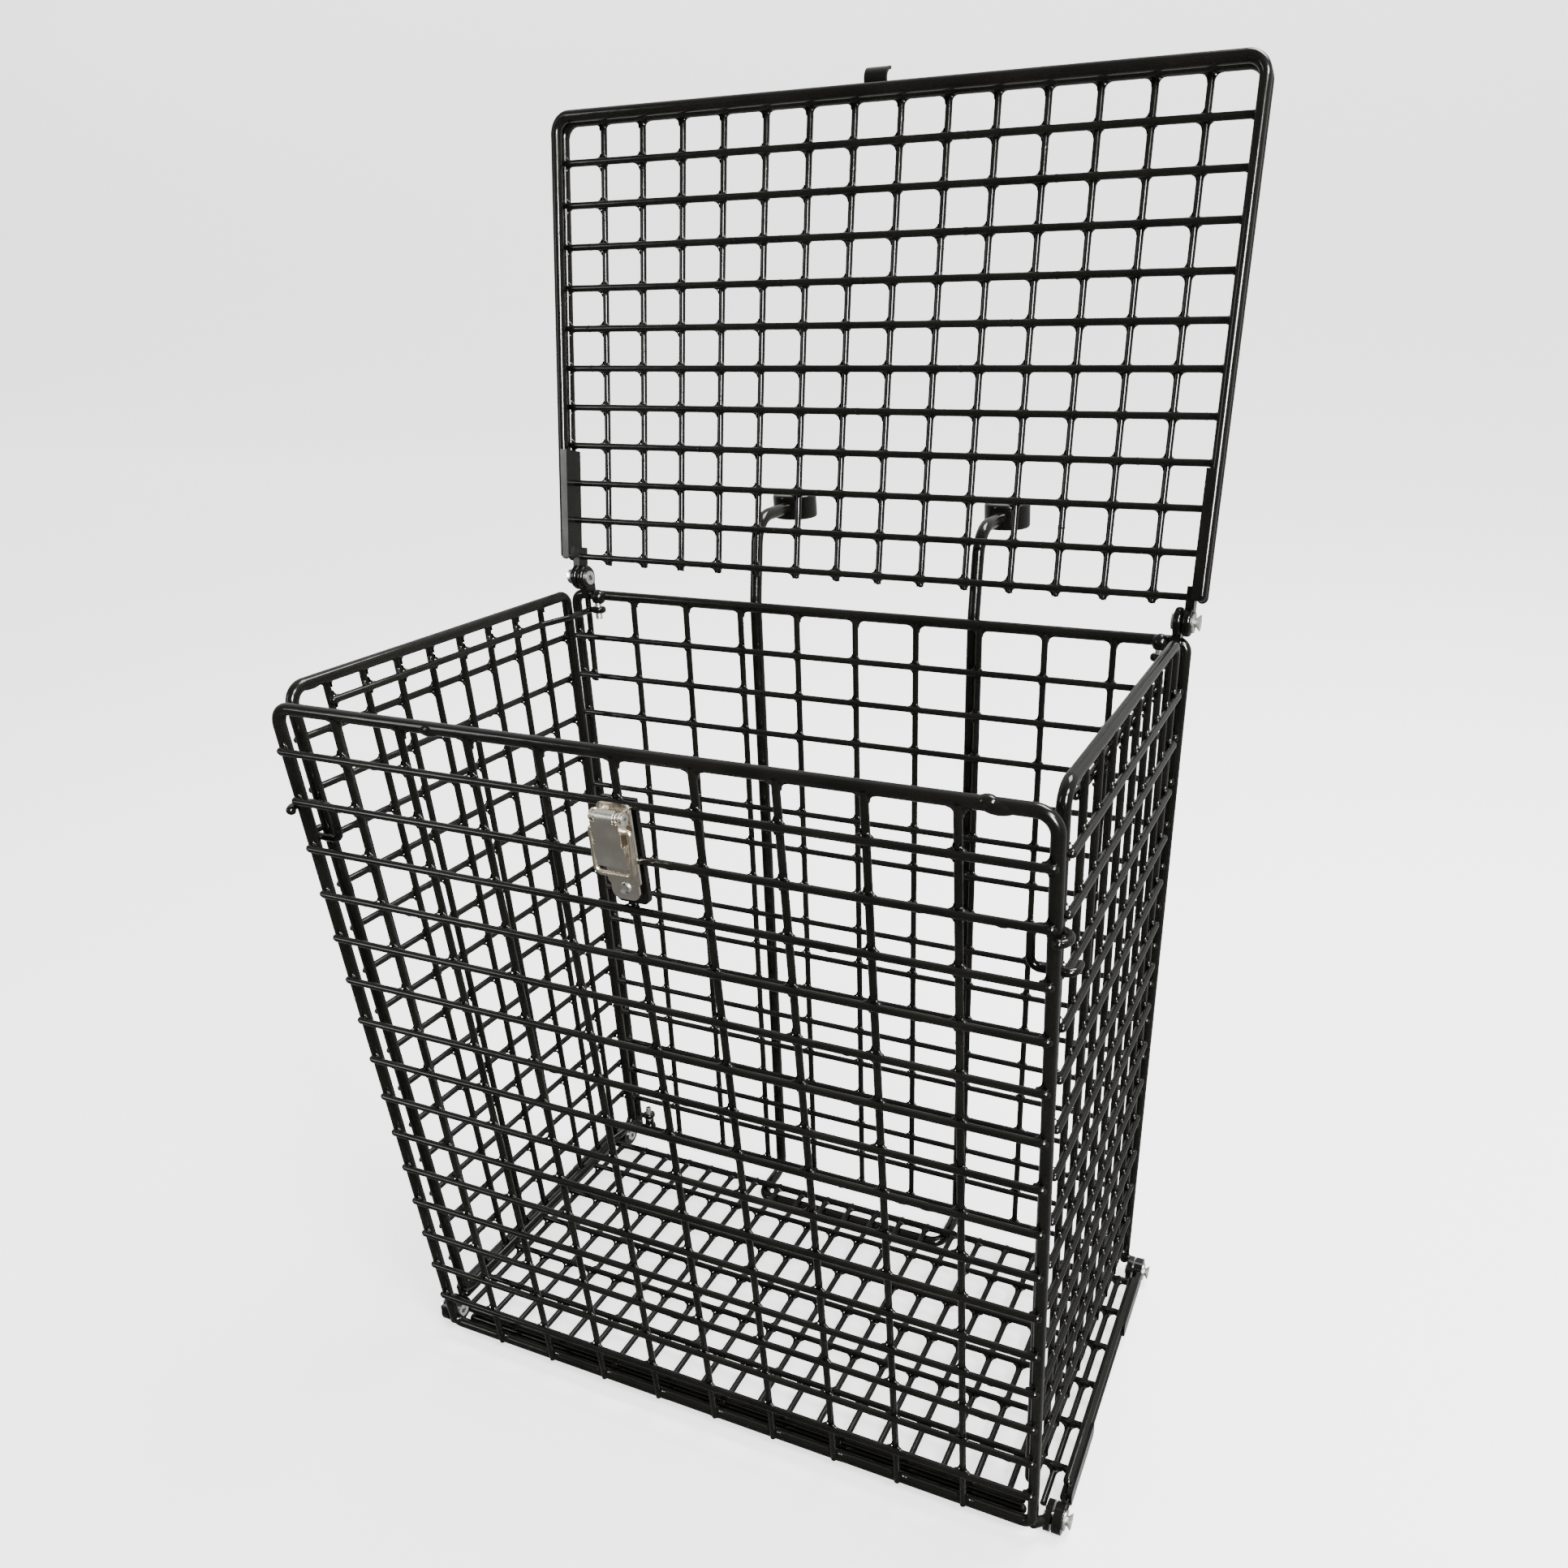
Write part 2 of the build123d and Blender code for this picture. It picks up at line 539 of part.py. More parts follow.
# ---------------------------------------------------------------- lid
def lid_panel():
    for name, off, radius in (("lid_edge_rod", 0.0, ROD), ("lid_lip_rod", LID_LIP, ROD)):
        with BuildPart() as rim:
            start = 0.0 if off == 0.0 else 1.0
            points = [lid_at(-LID_HALF, start, off), lid_at(-LID_HALF, LID_LENGTH, off),
                      lid_at(LID_HALF, LID_LENGTH, off), lid_at(LID_HALF, start, off)]
            bent_rod(points, [9, 9], radius)
            for side in (-1, 1):
                ball(lid_at(side * LID_HALF, start, off), radius)
            if off:
                for side in (-1, 1):
                    for along in (90, 150, 210):
                        bar(lid_at(side * LID_HALF, along, 1), lid_at(side * LID_HALF, along, off), 1.8)
                for x in (-150, -75, 0, 75, 150):
                    bar(lid_at(x, LID_LENGTH, 1), lid_at(x, LID_LENGTH, off), 1.8)
        save(rim.part, name)
    with BuildPart() as hinge_wire:
        bar(lid_at(-LID_HALF - 1, 0, 1.4), lid_at(LID_HALF + 1, 0, 1.4), WIRE)
    save(hinge_wire.part, "lid_hinge_wire")
    with BuildPart() as cross:
        for row in range(1, 11):
            along = row * LID_LENGTH / 11
            bar(lid_at(-LID_HALF - 1, along, 1.4), lid_at(LID_HALF + 1, along, 1.4), WIRE)
    save(cross.part, "lid_cross_wires")
    with BuildPart() as long_wires:
        for k in range(1, 15):
            across = -LID_HALF + k * LID_HALF * 2 / 15
            bar(lid_at(across, -3.2, -1.5), lid_at(across, LID_LENGTH + 1, -1.5), WIRE)
    save(long_wires.part, "lid_long_wires")


def lid_fittings():
    with BuildPart() as straps:
        for side in (-1, 1):
            face = Plane(origin=lid_at(side * 192.5, 0), x_dir=lid_at(0, 1) - lid_at(0, 0), z_dir=(side, 0, 0))
            with Locations(face.location * Location((30.5, side * 3.5, 2.25))):
                Box(63, 13.5, 4.5)
            ear = Plane(origin=at(side * 189.0, AXIS_DEPTH, AXIS_HEIGHT), z_dir=(side, 0, 0))
            round_disc(ear, 4.6, LID_EAR, 1.8)
            neck = face.location * Location((-1.5, 0, -1.0))
            with Locations(neck):
                Box(14, 8.5, 4.6)
            disc(side * 186, side * 196, AXIS_DEPTH, AXIS_HEIGHT, BORE, Mode.SUBTRACT)
    save(straps.part, "lid_hinge_straps")
    with BuildPart() as tab:
        width = 12.5
        foot = lid_at(LATCH_X + width / 2 - 0.8, LID_LENGTH, 0)
        side_face = Plane(origin=foot, x_dir=lid_at(0, 0, 1) - lid_at(0, 0, 0), z_dir=(-1, 0, 0))
        with BuildSketch(side_face):
            with BuildLine():
                Line((1.2, 0), (1.9, 2.4))
                ThreePointArc((1.9, 2.4), (3.6, 7.6), (0.2, 12.4))
                Line((0.2, 12.4), (-2.2, 13.4))
                Line((-2.2, 13.4), (-2.8, 12.0))
                Line((-2.8, 12.0), (-0.8, 11.1))
                ThreePointArc((-0.8, 11.1), (1.9, 7.4), (-0.6, 2.6))
                Line((-0.6, 2.6), (-1.2, 0))
                Line((-1.2, 0), (1.2, 0))
            make_face()
        extrude(amount=width)
    save(tab.part, "lid_hook_tab")


floor_frame()
floor_mesh()
floor_straps()
hinge_hardware()
front_panel()
latch_mounting()
latch_base()
latch_lever()
latch_bail()
corner_catch(1, "catch_right")
corner_catch(-1, "catch_left")
back_panel()
back_lugs()
hanger()
side_panel(1, "side_right")
side_panel(-1, "side_left")
lid_panel()
lid_fittings()
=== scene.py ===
import json
import math
import random

import bmesh
import bpy
from mathutils import Matrix, Vector


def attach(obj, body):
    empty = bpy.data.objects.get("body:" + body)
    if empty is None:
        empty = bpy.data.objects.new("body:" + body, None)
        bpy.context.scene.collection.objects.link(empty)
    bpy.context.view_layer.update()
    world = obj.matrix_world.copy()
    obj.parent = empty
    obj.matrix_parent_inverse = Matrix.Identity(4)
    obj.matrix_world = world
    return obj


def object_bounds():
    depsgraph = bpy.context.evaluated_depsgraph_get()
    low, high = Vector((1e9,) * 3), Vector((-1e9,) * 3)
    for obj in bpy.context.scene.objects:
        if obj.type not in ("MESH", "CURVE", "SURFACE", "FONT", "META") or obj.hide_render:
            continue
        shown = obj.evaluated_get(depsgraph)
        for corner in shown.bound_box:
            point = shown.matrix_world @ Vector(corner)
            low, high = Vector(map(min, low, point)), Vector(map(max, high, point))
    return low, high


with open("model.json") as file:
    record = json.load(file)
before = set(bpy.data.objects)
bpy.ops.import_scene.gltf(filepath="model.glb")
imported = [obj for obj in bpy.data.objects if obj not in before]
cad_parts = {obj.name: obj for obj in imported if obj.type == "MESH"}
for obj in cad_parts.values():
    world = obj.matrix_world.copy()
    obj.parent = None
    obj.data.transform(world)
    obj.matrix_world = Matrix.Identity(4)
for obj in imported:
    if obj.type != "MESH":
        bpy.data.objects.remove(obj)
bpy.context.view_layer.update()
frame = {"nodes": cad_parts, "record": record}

MM = 0.001
RNG = random.Random(11)

# ---- the cage's own dimensions in millimetres, as in the CAD ----
# FRONT and BASE place the front frame rod; depth is counted back from it and height up from its lower rail.
FRONT, BASE = -150.9, 11.2
ROD, WIRE, LAP, UPRIGHT_LAP = 3.0, 1.8, 4.2, 1.8
HALF, TOP, ROW, TOP_GAP, COLUMN = 190.5, 402.2, 25.4, 20.6, 38.1
BACK_DEPTH, LEAN, BACK_TOP = 203.5, 0.085, 403.1
BACK_LEFT, BACK_RIGHT, BACK_FOOT = -197.5, 191.3, 191.3
STUB_LEFT, STUB_RIGHT = -187.3, 184.6
BACK_ROW, BACK_GAP, BACK_COLUMN = 24.76, 25.4, 38.25
SIDE_X, SIDE_FRONT, SIDE_REAR_TOP, SIDE_REAR_LOW = 188.8, 12.0, 217.0, 193.5
SIDE_TOP, SIDE_LOW, SIDE_ROW, SIDE_GAP = 407.0, 14.2, 26.2, 26.0
SIDE_FRONT_LOW, SIDE_FRONT_TOP = {1: 185.0, -1: 190.3}, {1: 188.8, -1: 193.6}
RING_TOP, RING_LOW = 395.2, 18.0
LID_TURN = math.radians(77.2)
AXIS_DEPTH, AXIS_HEIGHT, LID_START, LID_DROP = 236.0, 414.0, 12.5, 1.5
LID_LENGTH, LID_HALF = 238.4, 197.0
FLOOR_X, FLOOR_FRONT, FLOOR_REAR = 202.0, 7.2, 183.0
FLOOR_HEIGHT, FLOOR_PITCH = -2.3, 19.2

# ---- the coating's webs ----
BETWEEN = (LAP + UPRIGHT_LAP) / 2   # halfway between a panel's cross wires and its uprights
CROSS_GAP = LAP - UPRIGHT_LAP       # from the uprights' centres out to the cross wires'
RAIL = ROD * 0.92                   # a frame rod's half-width where an upright meets it
POST = ROD * 0.85                   # the same where a cross wire runs over it
POST_OFF, POST_GAP = 2.4, 1.8       # centre and gap of the webs on those
RAIL_OFF, RAIL_WEB = 0.9, 3.6       # centre and reach of the webs under a rail
GRID_WEB, BACK_WEB, FLOOR_WEB = 2.5, 2.0, 2.8
LID_CROSS, LID_LONG = 1.4, -1.5     # the lid's two layers of wire, toward the cage
TIP = 1.4                           # half-length of the rounded end of a wire


def at(x, depth, height):
    """A place on the cage, in metres, from its millimetres."""
    return Vector((x * MM, (FRONT + depth) * MM, (BASE + height) * MM))


def back_at(x, height, inward=0.0):
    """A place on the leaning back panel."""
    return at(x, BACK_DEPTH + LEAN * height - inward, height)


def lid_at(x, along, toward_cage=0.0):
    """A place on the open lid, counted from its hinge wire."""
    run = LID_START + along
    off = toward_cage - LID_DROP
    depth = AXIS_DEPTH + run * math.cos(LID_TURN) - off * math.sin(LID_TURN)
    height = AXIS_HEIGHT + run * math.sin(LID_TURN) + off * math.cos(LID_TURN)
    return at(x, depth, height)


def side_rear(height):
    """Depth of a side panel's rear rod."""
    share = (height - SIDE_LOW) / (SIDE_TOP - SIDE_LOW)
    return SIDE_REAR_LOW + share * (SIDE_REAR_TOP - SIDE_REAR_LOW)


def side_at(side, depth, height, outward=0.0):
    """A place on a side panel, whose front edge is slightly sprung."""
    up = (height - SIDE_LOW) / (SIDE_TOP - SIDE_LOW)
    back = (depth - SIDE_FRONT) / (side_rear(height) - SIDE_FRONT)
    front = SIDE_FRONT_LOW[side] + (SIDE_FRONT_TOP[side] - SIDE_FRONT_LOW[side]) * up
    return at(side * (front + (SIDE_X - front) * back + outward), depth, height)


def back_left(height):
    """Where the back's left rod is; it leans outward."""
    return -BACK_FOOT + (BACK_LEFT + BACK_FOOT) * height / BACK_TOP


# ---------------------------------------------------------------- camera and light
def make_camera():
    """A wide view from above and to the right of the front, held very slightly off level."""
    pitch, roll, heading = 61.889, 1.157, 21.911
    data = bpy.data.cameras.new("camera")
    data.sensor_width = 36.0
    data.sensor_fit = "HORIZONTAL"
    data.lens = 26.44
    data.shift_x = -0.0899
    data.shift_y = 0.0807
    data.clip_start = 0.01
    data.clip_end = 20.0
    cam = bpy.data.objects.new("camera", data)
    cam.location = at(290.6, -368.9, 566.5)
    cam.rotation_euler = (math.radians(pitch), math.radians(roll), math.radians(heading))
    bpy.context.scene.collection.objects.link(cam)
    bpy.context.scene.camera = cam


def area_light(name, where, target, size, power):
    data = bpy.data.lights.new(name, "AREA")
    data.shape = "RECTANGLE"
    data.size, data.size_y = size
    data.energy = power
    lamp = bpy.data.objects.new(name, data)
    direction = Vector(target) - Vector(where)
    lamp.location = where
    lamp.rotation_euler = direction.to_track_quat("-Z", "Y").to_euler()
    bpy.context.scene.collection.objects.link(lamp)
    return lamp


def make_stage():
    """A pale floor that sweeps up into a wall far behind the cage."""
    near, far, radius, steps, half_width, wall = -5.0, 3.2, 2.0, 24, 9.0, 8.0
    profile = [(near, 0.0), (far, 0.0)]
    for k in range(1, steps + 1):
        turn = math.pi / 2 * k / steps
        profile.append((far + radius * math.sin(turn), radius - radius * math.cos(turn)))
    profile.append((far + radius, wall))
    bm = bmesh.new()
    edge = [[bm.verts.new((x, y, z)) for y, z in profile] for x in (-half_width, half_width)]
    for k in range(len(profile) - 1):
        bm.faces.new((edge[0][k], edge[1][k], edge[1][k + 1], edge[0][k + 1]))
    for face in bm.faces:
        face.smooth = True
    mesh = bpy.data.meshes.new("studio_floor")
    bm.to_mesh(mesh)
    bm.free()
    ground = bpy.data.objects.new("studio_floor", mesh)
    ground.location.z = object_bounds()[0][2] - 0.0002
    ground.visible_glossy = False
    bpy.context.scene.collection.objects.link(ground)
    mat = bpy.data.materials.new("studio_floor")
    mat.use_nodes = True
    bsdf = mat.node_tree.nodes["Principled BSDF"]
    bsdf.inputs["Base Color"].default_value = (0.90, 0.90, 0.895, 1)
    bsdf.inputs["Roughness"].default_value = 0.85
    bsdf.inputs["Emission Color"].default_value = (1, 1, 0.995, 1)
    bsdf.inputs["Emission Strength"].default_value = 1.7
    mesh.materials.append(mat)


def make_sky():
    """A soft world: bright behind the cage and overhead, dim behind the camera."""
    world = bpy.data.worlds.new("studio")
    world.use_nodes = True
    tree = world.node_tree
    coord = tree.nodes.new("ShaderNodeTexCoord")
    split = tree.nodes.new("ShaderNodeSeparateXYZ")
    tree.links.new(coord.outputs["Generated"], split.inputs[0])
    parts = []
    for axis, start, end, low, high in (("Y", -0.45, 0.45, 0.30, 1.0), ("Z", -0.15, 0.75, 0.55, 1.0)):
        fade = tree.nodes.new("ShaderNodeMapRange")
        fade.interpolation_type = "SMOOTHSTEP"
        fade.inputs["From Min"].default_value = start
        fade.inputs["From Max"].default_value = end
        fade.inputs["To Min"].default_value = low
        fade.inputs["To Max"].default_value = high
        tree.links.new(split.outputs[axis], fade.inputs["Value"])
        parts.append(fade.outputs["Result"])
    both = tree.nodes.new("ShaderNodeMath")
    both.operation = "MULTIPLY"
    tree.links.new(parts[0], both.inputs[0])
    tree.links.new(parts[1], both.inputs[1])
    tree.links.new(both.outputs[0], tree.nodes["Background"].inputs["Strength"])
    tree.nodes["Background"].inputs["Color"].default_value = (1.0, 1.0, 0.995, 1)
    bpy.context.scene.world = world


def make_lamps():
    """Soft lamps from the right, from above and weakly from the left; the sheen only adds highlights."""
    area_light("key", (1.35, -0.75, 1.75), (0, 0, 0.25), (0.55, 0.35), 70)
    area_light("top", (0.55, 0.75, 2.2), (0.05, 0, 0.2), (1.1, 0.8), 75)
    area_light("left", (-1.6, -1.5, 1.1), (0, 0, 0.25), (0.3, 1.0), 8)
    sheen = area_light("sheen", (1.25, -1.35, 1.15), (0.15, -0.1, 0.3), (0.35, 0.7), 150)
    sheen.visible_diffuse = False


# ---------------------------------------------------------------- materials
class Nodes:
    """Shorthand for building one material's node tree."""

    def __init__(self, name):
        self.mat = bpy.data.materials.new(name)
        self.mat.use_nodes = True
        self.tree = self.mat.node_tree
        self.bsdf = self.tree.nodes["Principled BSDF"]
        coord = self.tree.nodes.new("ShaderNodeTexCoord")
        self.place = coord.outputs["Object"]

    def link(self, a, b):
        self.tree.links.new(a, b)

    def noise(self, scale, detail=2.0, rough=0.5, stretch=None):
        node = self.tree.nodes.new("ShaderNodeTexNoise")
        node.inputs["Scale"].default_value = scale
        node.inputs["Detail"].default_value = detail
        node.inputs["Roughness"].default_value = rough
        if stretch:
            mapping = self.tree.nodes.new("ShaderNodeMapping")
            mapping.inputs["Scale"].default_value = stretch
            self.link(self.place, mapping.inputs["Vector"])
            self.link(mapping.outputs[0], node.inputs["Vector"])
        else:
            self.link(self.place, node.inputs["Vector"])
        return node.outputs["Fac"]

    def ramp(self, value, stops):
        node = self.tree.nodes.new("ShaderNodeValToRGB")
        ramp = node.color_ramp
        while len(ramp.elements) < len(stops):
            ramp.elements.new(0.5)
        for element, (place, colour) in zip(ramp.elements, stops):
            element.position = place
            element.color = (*colour, 1) if len(colour) == 3 else colour
        self.link(value, node.inputs["Fac"])
        return node.outputs["Color"]

    def span(self, value, low, high, start=0.0, end=1.0):
        node = self.tree.nodes.new("ShaderNodeMapRange")
        node.inputs["From Min"].default_value = start
        node.inputs["From Max"].default_value = end
        node.inputs["To Min"].default_value = low
        node.inputs["To Max"].default_value = high
        self.link(value, node.inputs["Value"])
        return node.outputs["Result"]

    def math(self, kind, a, b):
        node = self.tree.nodes.new("ShaderNodeMath")
        node.operation = kind
        for socket, value in zip(node.inputs, (a, b)):
            if isinstance(value, (int, float)):
                socket.default_value = value
            else:
                self.link(value, socket)
        return node.outputs[0]

    def mix(self, factor, a, b):
        node = self.tree.nodes.new("ShaderNodeMix")
        node.data_type = "RGBA"
        for socket, value in ((node.inputs[0], factor), (node.inputs[6], a), (node.inputs[7], b)):
            if isinstance(value, tuple):
                socket.default_value = (*value, 1)
            else:
                self.link(value, socket)
        return node.outputs[2]

    def bump(self, height, strength, distance, under=None):
        node = self.tree.nodes.new("ShaderNodeBump")
        node.inputs["Strength"].default_value = strength
        node.inputs["Distance"].default_value = distance
        self.link(height, node.inputs["Height"])
        if under is not None:
            self.link(under, node.inputs["Normal"])
        return node.outputs[0]

    def edges(self, low=0.52, high=0.62):
        geo = self.tree.nodes.new("ShaderNodeNewGeometry")
        return self.span(geo.outputs["Pointiness"], 0.0, 1.0, low, high)


def coating_material():
    """Thick dip coating: near-black, faintly olive, glossy, with sags, dust and scuffs."""
    n = Nodes("dip_coating")
    tone = n.ramp(n.noise(30, 3), [(0.32, (0.0026, 0.0026, 0.0021)), (0.68, (0.0056, 0.0054, 0.0043))])
    dust = n.span(n.noise(1100, 3, 0.7), 0.0, 0.35, 0.64, 0.82)
    scuff = n.span(n.noise(150, 5, 0.7), 0.0, 0.5, 0.62, 0.80)
    dusty = n.mix(dust, tone, (0.020, 0.019, 0.017))
    n.link(n.mix(scuff, dusty, (0.011, 0.011, 0.009)), n.bsdf.inputs["Base Color"])
    rough = n.math("ADD", n.span(n.noise(45, 2), 0.10, 0.19, 0.3, 0.7), n.math("MULTIPLY", scuff, 0.18))
    n.link(n.math("ADD", rough, n.math("MULTIPLY", dust, 0.2)), n.bsdf.inputs["Roughness"])
    sag = n.bump(n.noise(85, 1.0, 0.4), 0.16, 0.0008)
    peel = n.bump(n.noise(520, 1.5, 0.5), 0.05, 0.0002, sag)
    n.link(peel, n.bsdf.inputs["Normal"])
    n.bsdf.inputs["IOR"].default_value = 1.45
    n.bsdf.inputs["Specular IOR Level"].default_value = 0.36
    return n.mat


def plating_material():
    """Bright nickel plate with fine brushing, warm tone and a few scratches."""
    n = Nodes("nickel_plate")
    n.bsdf.inputs["Metallic"].default_value = 1.0
    tone = n.ramp(n.noise(55, 3), [(0.3, (0.66, 0.58, 0.45)), (0.7, (0.80, 0.73, 0.60))])
    worn = n.mix(n.edges(), tone, (0.86, 0.82, 0.74))
    scratch = n.span(n.noise(90, 6, 0.75, (14.0, 14.0, 0.7)), 0.0, 1.0, 0.60, 0.72)
    n.link(n.mix(scratch, worn, (0.62, 0.55, 0.44)), n.bsdf.inputs["Base Color"])
    rough = n.span(n.noise(120, 3), 0.20, 0.30, 0.3, 0.7)
    n.link(n.math("ADD", rough, n.math("MULTIPLY", scratch, 0.16)), n.bsdf.inputs["Roughness"])
    wave = n.bump(n.noise(70, 2), 0.05, 0.0008)
    brushed = n.bump(n.noise(300, 2, 0.5, (4.0, 4.0, 0.5)), 0.04, 0.0002, wave)
    n.link(brushed, n.bsdf.inputs["Normal"])
    return n.mat


def bare_steel_material():
    """Bare rivet steel, turned and slightly tarnished, dark where the coating has crept in."""
    n = Nodes("bare_steel")
    n.bsdf.inputs["Metallic"].default_value = 1.0
    tone = n.ramp(n.noise(320, 4), [
        (0.3, (0.30, 0.29, 0.27)),
        (0.55, (0.52, 0.51, 0.48)),
        (0.75, (0.66, 0.65, 0.61))])
    crept = n.span(n.noise(240, 3, 0.6), 0.0, 0.9, 0.56, 0.64)
    worn = n.mix(n.edges(), tone, (0.78, 0.77, 0.74))
    n.link(n.mix(crept, worn, (0.035, 0.034, 0.030)), n.bsdf.inputs["Base Color"])
    n.link(n.span(n.noise(500, 4), 0.22, 0.48, 0.3, 0.7), n.bsdf.inputs["Roughness"])
    n.link(n.bump(n.noise(1300, 4, 0.7), 0.25, 0.0002), n.bsdf.inputs["Normal"])
    return n.mat


MATERIALS = {}


def make_materials():
    """Gives every CAD node the material of its slot."""
    MATERIALS["coating"] = coating_material()
    MATERIALS["plating"] = plating_material()
    MATERIALS["bare_steel"] = bare_steel_material()
    slots = {s["node"]: s["material_slot"] for s in frame["record"]["subparts"]}
    for node, slot in slots.items():
        piece = frame["nodes"][node]
        for index in range(len(piece.material_slots)):
            piece.material_slots[index].material = MATERIALS[slot]


def new_piece(name, bm, body, slot="coating"):
    """Turns the mesh into a smooth piece without the caps it collected, riding on a body."""
    bmesh.ops.recalc_face_normals(bm, faces=bm.faces)
    if CAPS:
        bmesh.ops.delete(bm, geom=CAPS, context="FACES_ONLY")
        CAPS.clear()
    for face in bm.faces:
        face.smooth = True
    mesh = bpy.data.meshes.new(name)
    bm.to_mesh(mesh)
    bm.free()
    piece = bpy.data.objects.new(name, mesh)
    bpy.context.scene.collection.objects.link(piece)
    mesh.materials.append(MATERIALS[slot])
    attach(piece, body)
    return piece


# ---------------------------------------------------------------- coating webs at the crossings
CAPS = []


def web(bm, centre, along_a, along_b, half_a, half_b, gap, corners, reach=GRID_WEB):
    """Fill the corners between two crossing wires with the coating's concave web.

    along_a, along_b: the wires' directions. half_a, half_b: their radii in mm. gap: how far wire a
    lies above wire b, along a cross b, in mm. corners: the (sign, sign) quadrants to fill. reach: how
    far the web runs out of the corner, in mm. Its open ends are capped and noted in CAPS, and new_piece
    takes the caps off again once the normals are set.
    """
    normal = along_a.cross(along_b).normalized()
    steps = 5
    for sa, sb in corners:
        bulge = reach * RNG.uniform(0.85, 1.2)
        rings = []
        for k in range(steps + 1):
            turn = math.pi / 2 * k / steps
            u = half_b + bulge - bulge * math.sin(turn)
            v = half_a + bulge - bulge * math.cos(turn)
            u -= 0.15 if k == 0 else 0.0
            blend = k / steps
            lift = gap * 0.5 * (1 - 2 * blend) * 0.72
            thick = 0.75 + 0.55 * abs(1 - 2 * blend)
            rings.append((u, v, lift, thick))
        inner = (half_b * 0.45, half_a * 0.45)
        loops = []
        for u, v, lift, thick in rings:
            edge = Vector((u, v))
            back = (Vector(inner) - edge) * 0.16
            points = []
            lip = thick * 0.72
            for shift, height in ((1.0, thick), (0.3, lip), (0.0, 0.0), (0.3, -lip), (1.0, -thick)):
                flat = edge + back * shift
                offset = along_a * (sa * flat.x * MM) + along_b * (sb * flat.y * MM)
                points.append(bm.verts.new(centre + offset + normal * ((lift + height) * MM)))
            loops.append(points)
        base = along_a * (sa * inner[0] * MM) + along_b * (sb * inner[1] * MM)
        hidden = normal * (1.15 * MM)
        high = bm.verts.new(centre + base + hidden)
        low = bm.verts.new(centre + base - hidden)
        for one, two in zip(loops, loops[1:]):
            for k in range(4):
                bm.faces.new((one[k], one[k + 1], two[k + 1], two[k]))
            bm.faces.new((one[0], two[0], high))
            bm.faces.new((one[4], low, two[4]))
        CAPS.append(bm.faces.new((*loops[0], low, high)))
        CAPS.append(bm.faces.new((*reversed(loops[-1]), high, low)))


ALL_CORNERS = ((1, 1), (1, -1), (-1, 1), (-1, -1))
X_AXIS, Y_AXIS, Z_AXIS = Vector((1, 0, 0)), Vector((0, 1, 0)), Vector((0, 0, 1))


def blob(bm, centre, along, length, radius, segments=10):
    """A rounded lump of coating, stretched along a wire."""
    turn = along.to_track_quat("Z", "Y").to_matrix().to_4x4()
    size = Matrix.Diagonal((radius * MM, radius * MM, length * MM, 1.0))
    bmesh.ops.create_uvsphere(bm, u_segments=segments, v_segments=max(6, segments - 2), radius=1.0,
                              matrix=Matrix.Translation(centre) @ turn @ size)


def front_webs():
    """Webs at every crossing of the front panel, along its posts and under its rails."""
    bm = bmesh.new()
    rows = [TOP - TOP_GAP - row * ROW for row in range(15)]
    for height in rows:
        for k in range(-4, 5):
            web(bm, at(k * COLUMN, -BETWEEN, height), X_AXIS, Z_AXIS, WIRE, WIRE, CROSS_GAP, ALL_CORNERS)
        for side in (-1, 1):
            web(bm, at(side * HALF, -POST_OFF, height), X_AXIS, Z_AXIS, WIRE, POST, POST_GAP,
                ((-side, 1), (-side, -1)))
            blob(bm, at(side * (HALF - 1.6), -LAP + 0.6, height), X_AXIS, 3.4, WIRE + 0.5)
    for k in range(-4, 5):
        for height, sign in ((0.0, 1), (TOP, -1)):
            web(bm, at(k * COLUMN, -RAIL_OFF, height), X_AXIS, Z_AXIS, RAIL, WIRE, 0.0,
                ((1, sign), (-1, sign)), RAIL_WEB)
    new_piece("front_coating_webs", bm, "front_panel")


def back_webs():
    """The same on the back panel, with the rounded lower ends of its uprights."""
    bm = bmesh.new()
    up = (back_at(0, 100) - back_at(0, 0)).normalized()
    rows = [BACK_TOP - BACK_GAP - row * BACK_ROW for row in range(16)]
    for row, height in enumerate(rows):
        columns = [k * BACK_COLUMN for k in range(-4, 5)]
        if row < 2:
            columns += [STUB_LEFT, STUB_RIGHT]
        for x in columns:
            web(bm, back_at(x, height, BETWEEN), X_AXIS, up, WIRE, WIRE, CROSS_GAP, ALL_CORNERS, BACK_WEB)
        for side, edge in ((-1, back_left(height)), (1, BACK_RIGHT)):
            web(bm, back_at(edge, height, POST_OFF), X_AXIS, up, WIRE, POST, POST_GAP,
                ((-side, 1), (-side, -1)))
            blob(bm, back_at(edge - side, height, LAP - 0.2), X_AXIS, 2.6, WIRE + 0.25)
    for k in range(-4, 5):
        web(bm, back_at(k * BACK_COLUMN, BACK_TOP, RAIL_OFF), X_AXIS, up, RAIL, WIRE, 0.0,
            ((1, -1), (-1, -1)), RAIL_WEB)
        blob(bm, back_at(k * BACK_COLUMN, rows[-1] - 2, UPRIGHT_LAP), up, TIP, WIRE)
    for x in (STUB_LEFT, STUB_RIGHT):
        blob(bm, back_at(x, rows[1] - 3, UPRIGHT_LAP), up, TIP, WIRE)
    new_piece("back_coating_webs", bm, "back_panel")


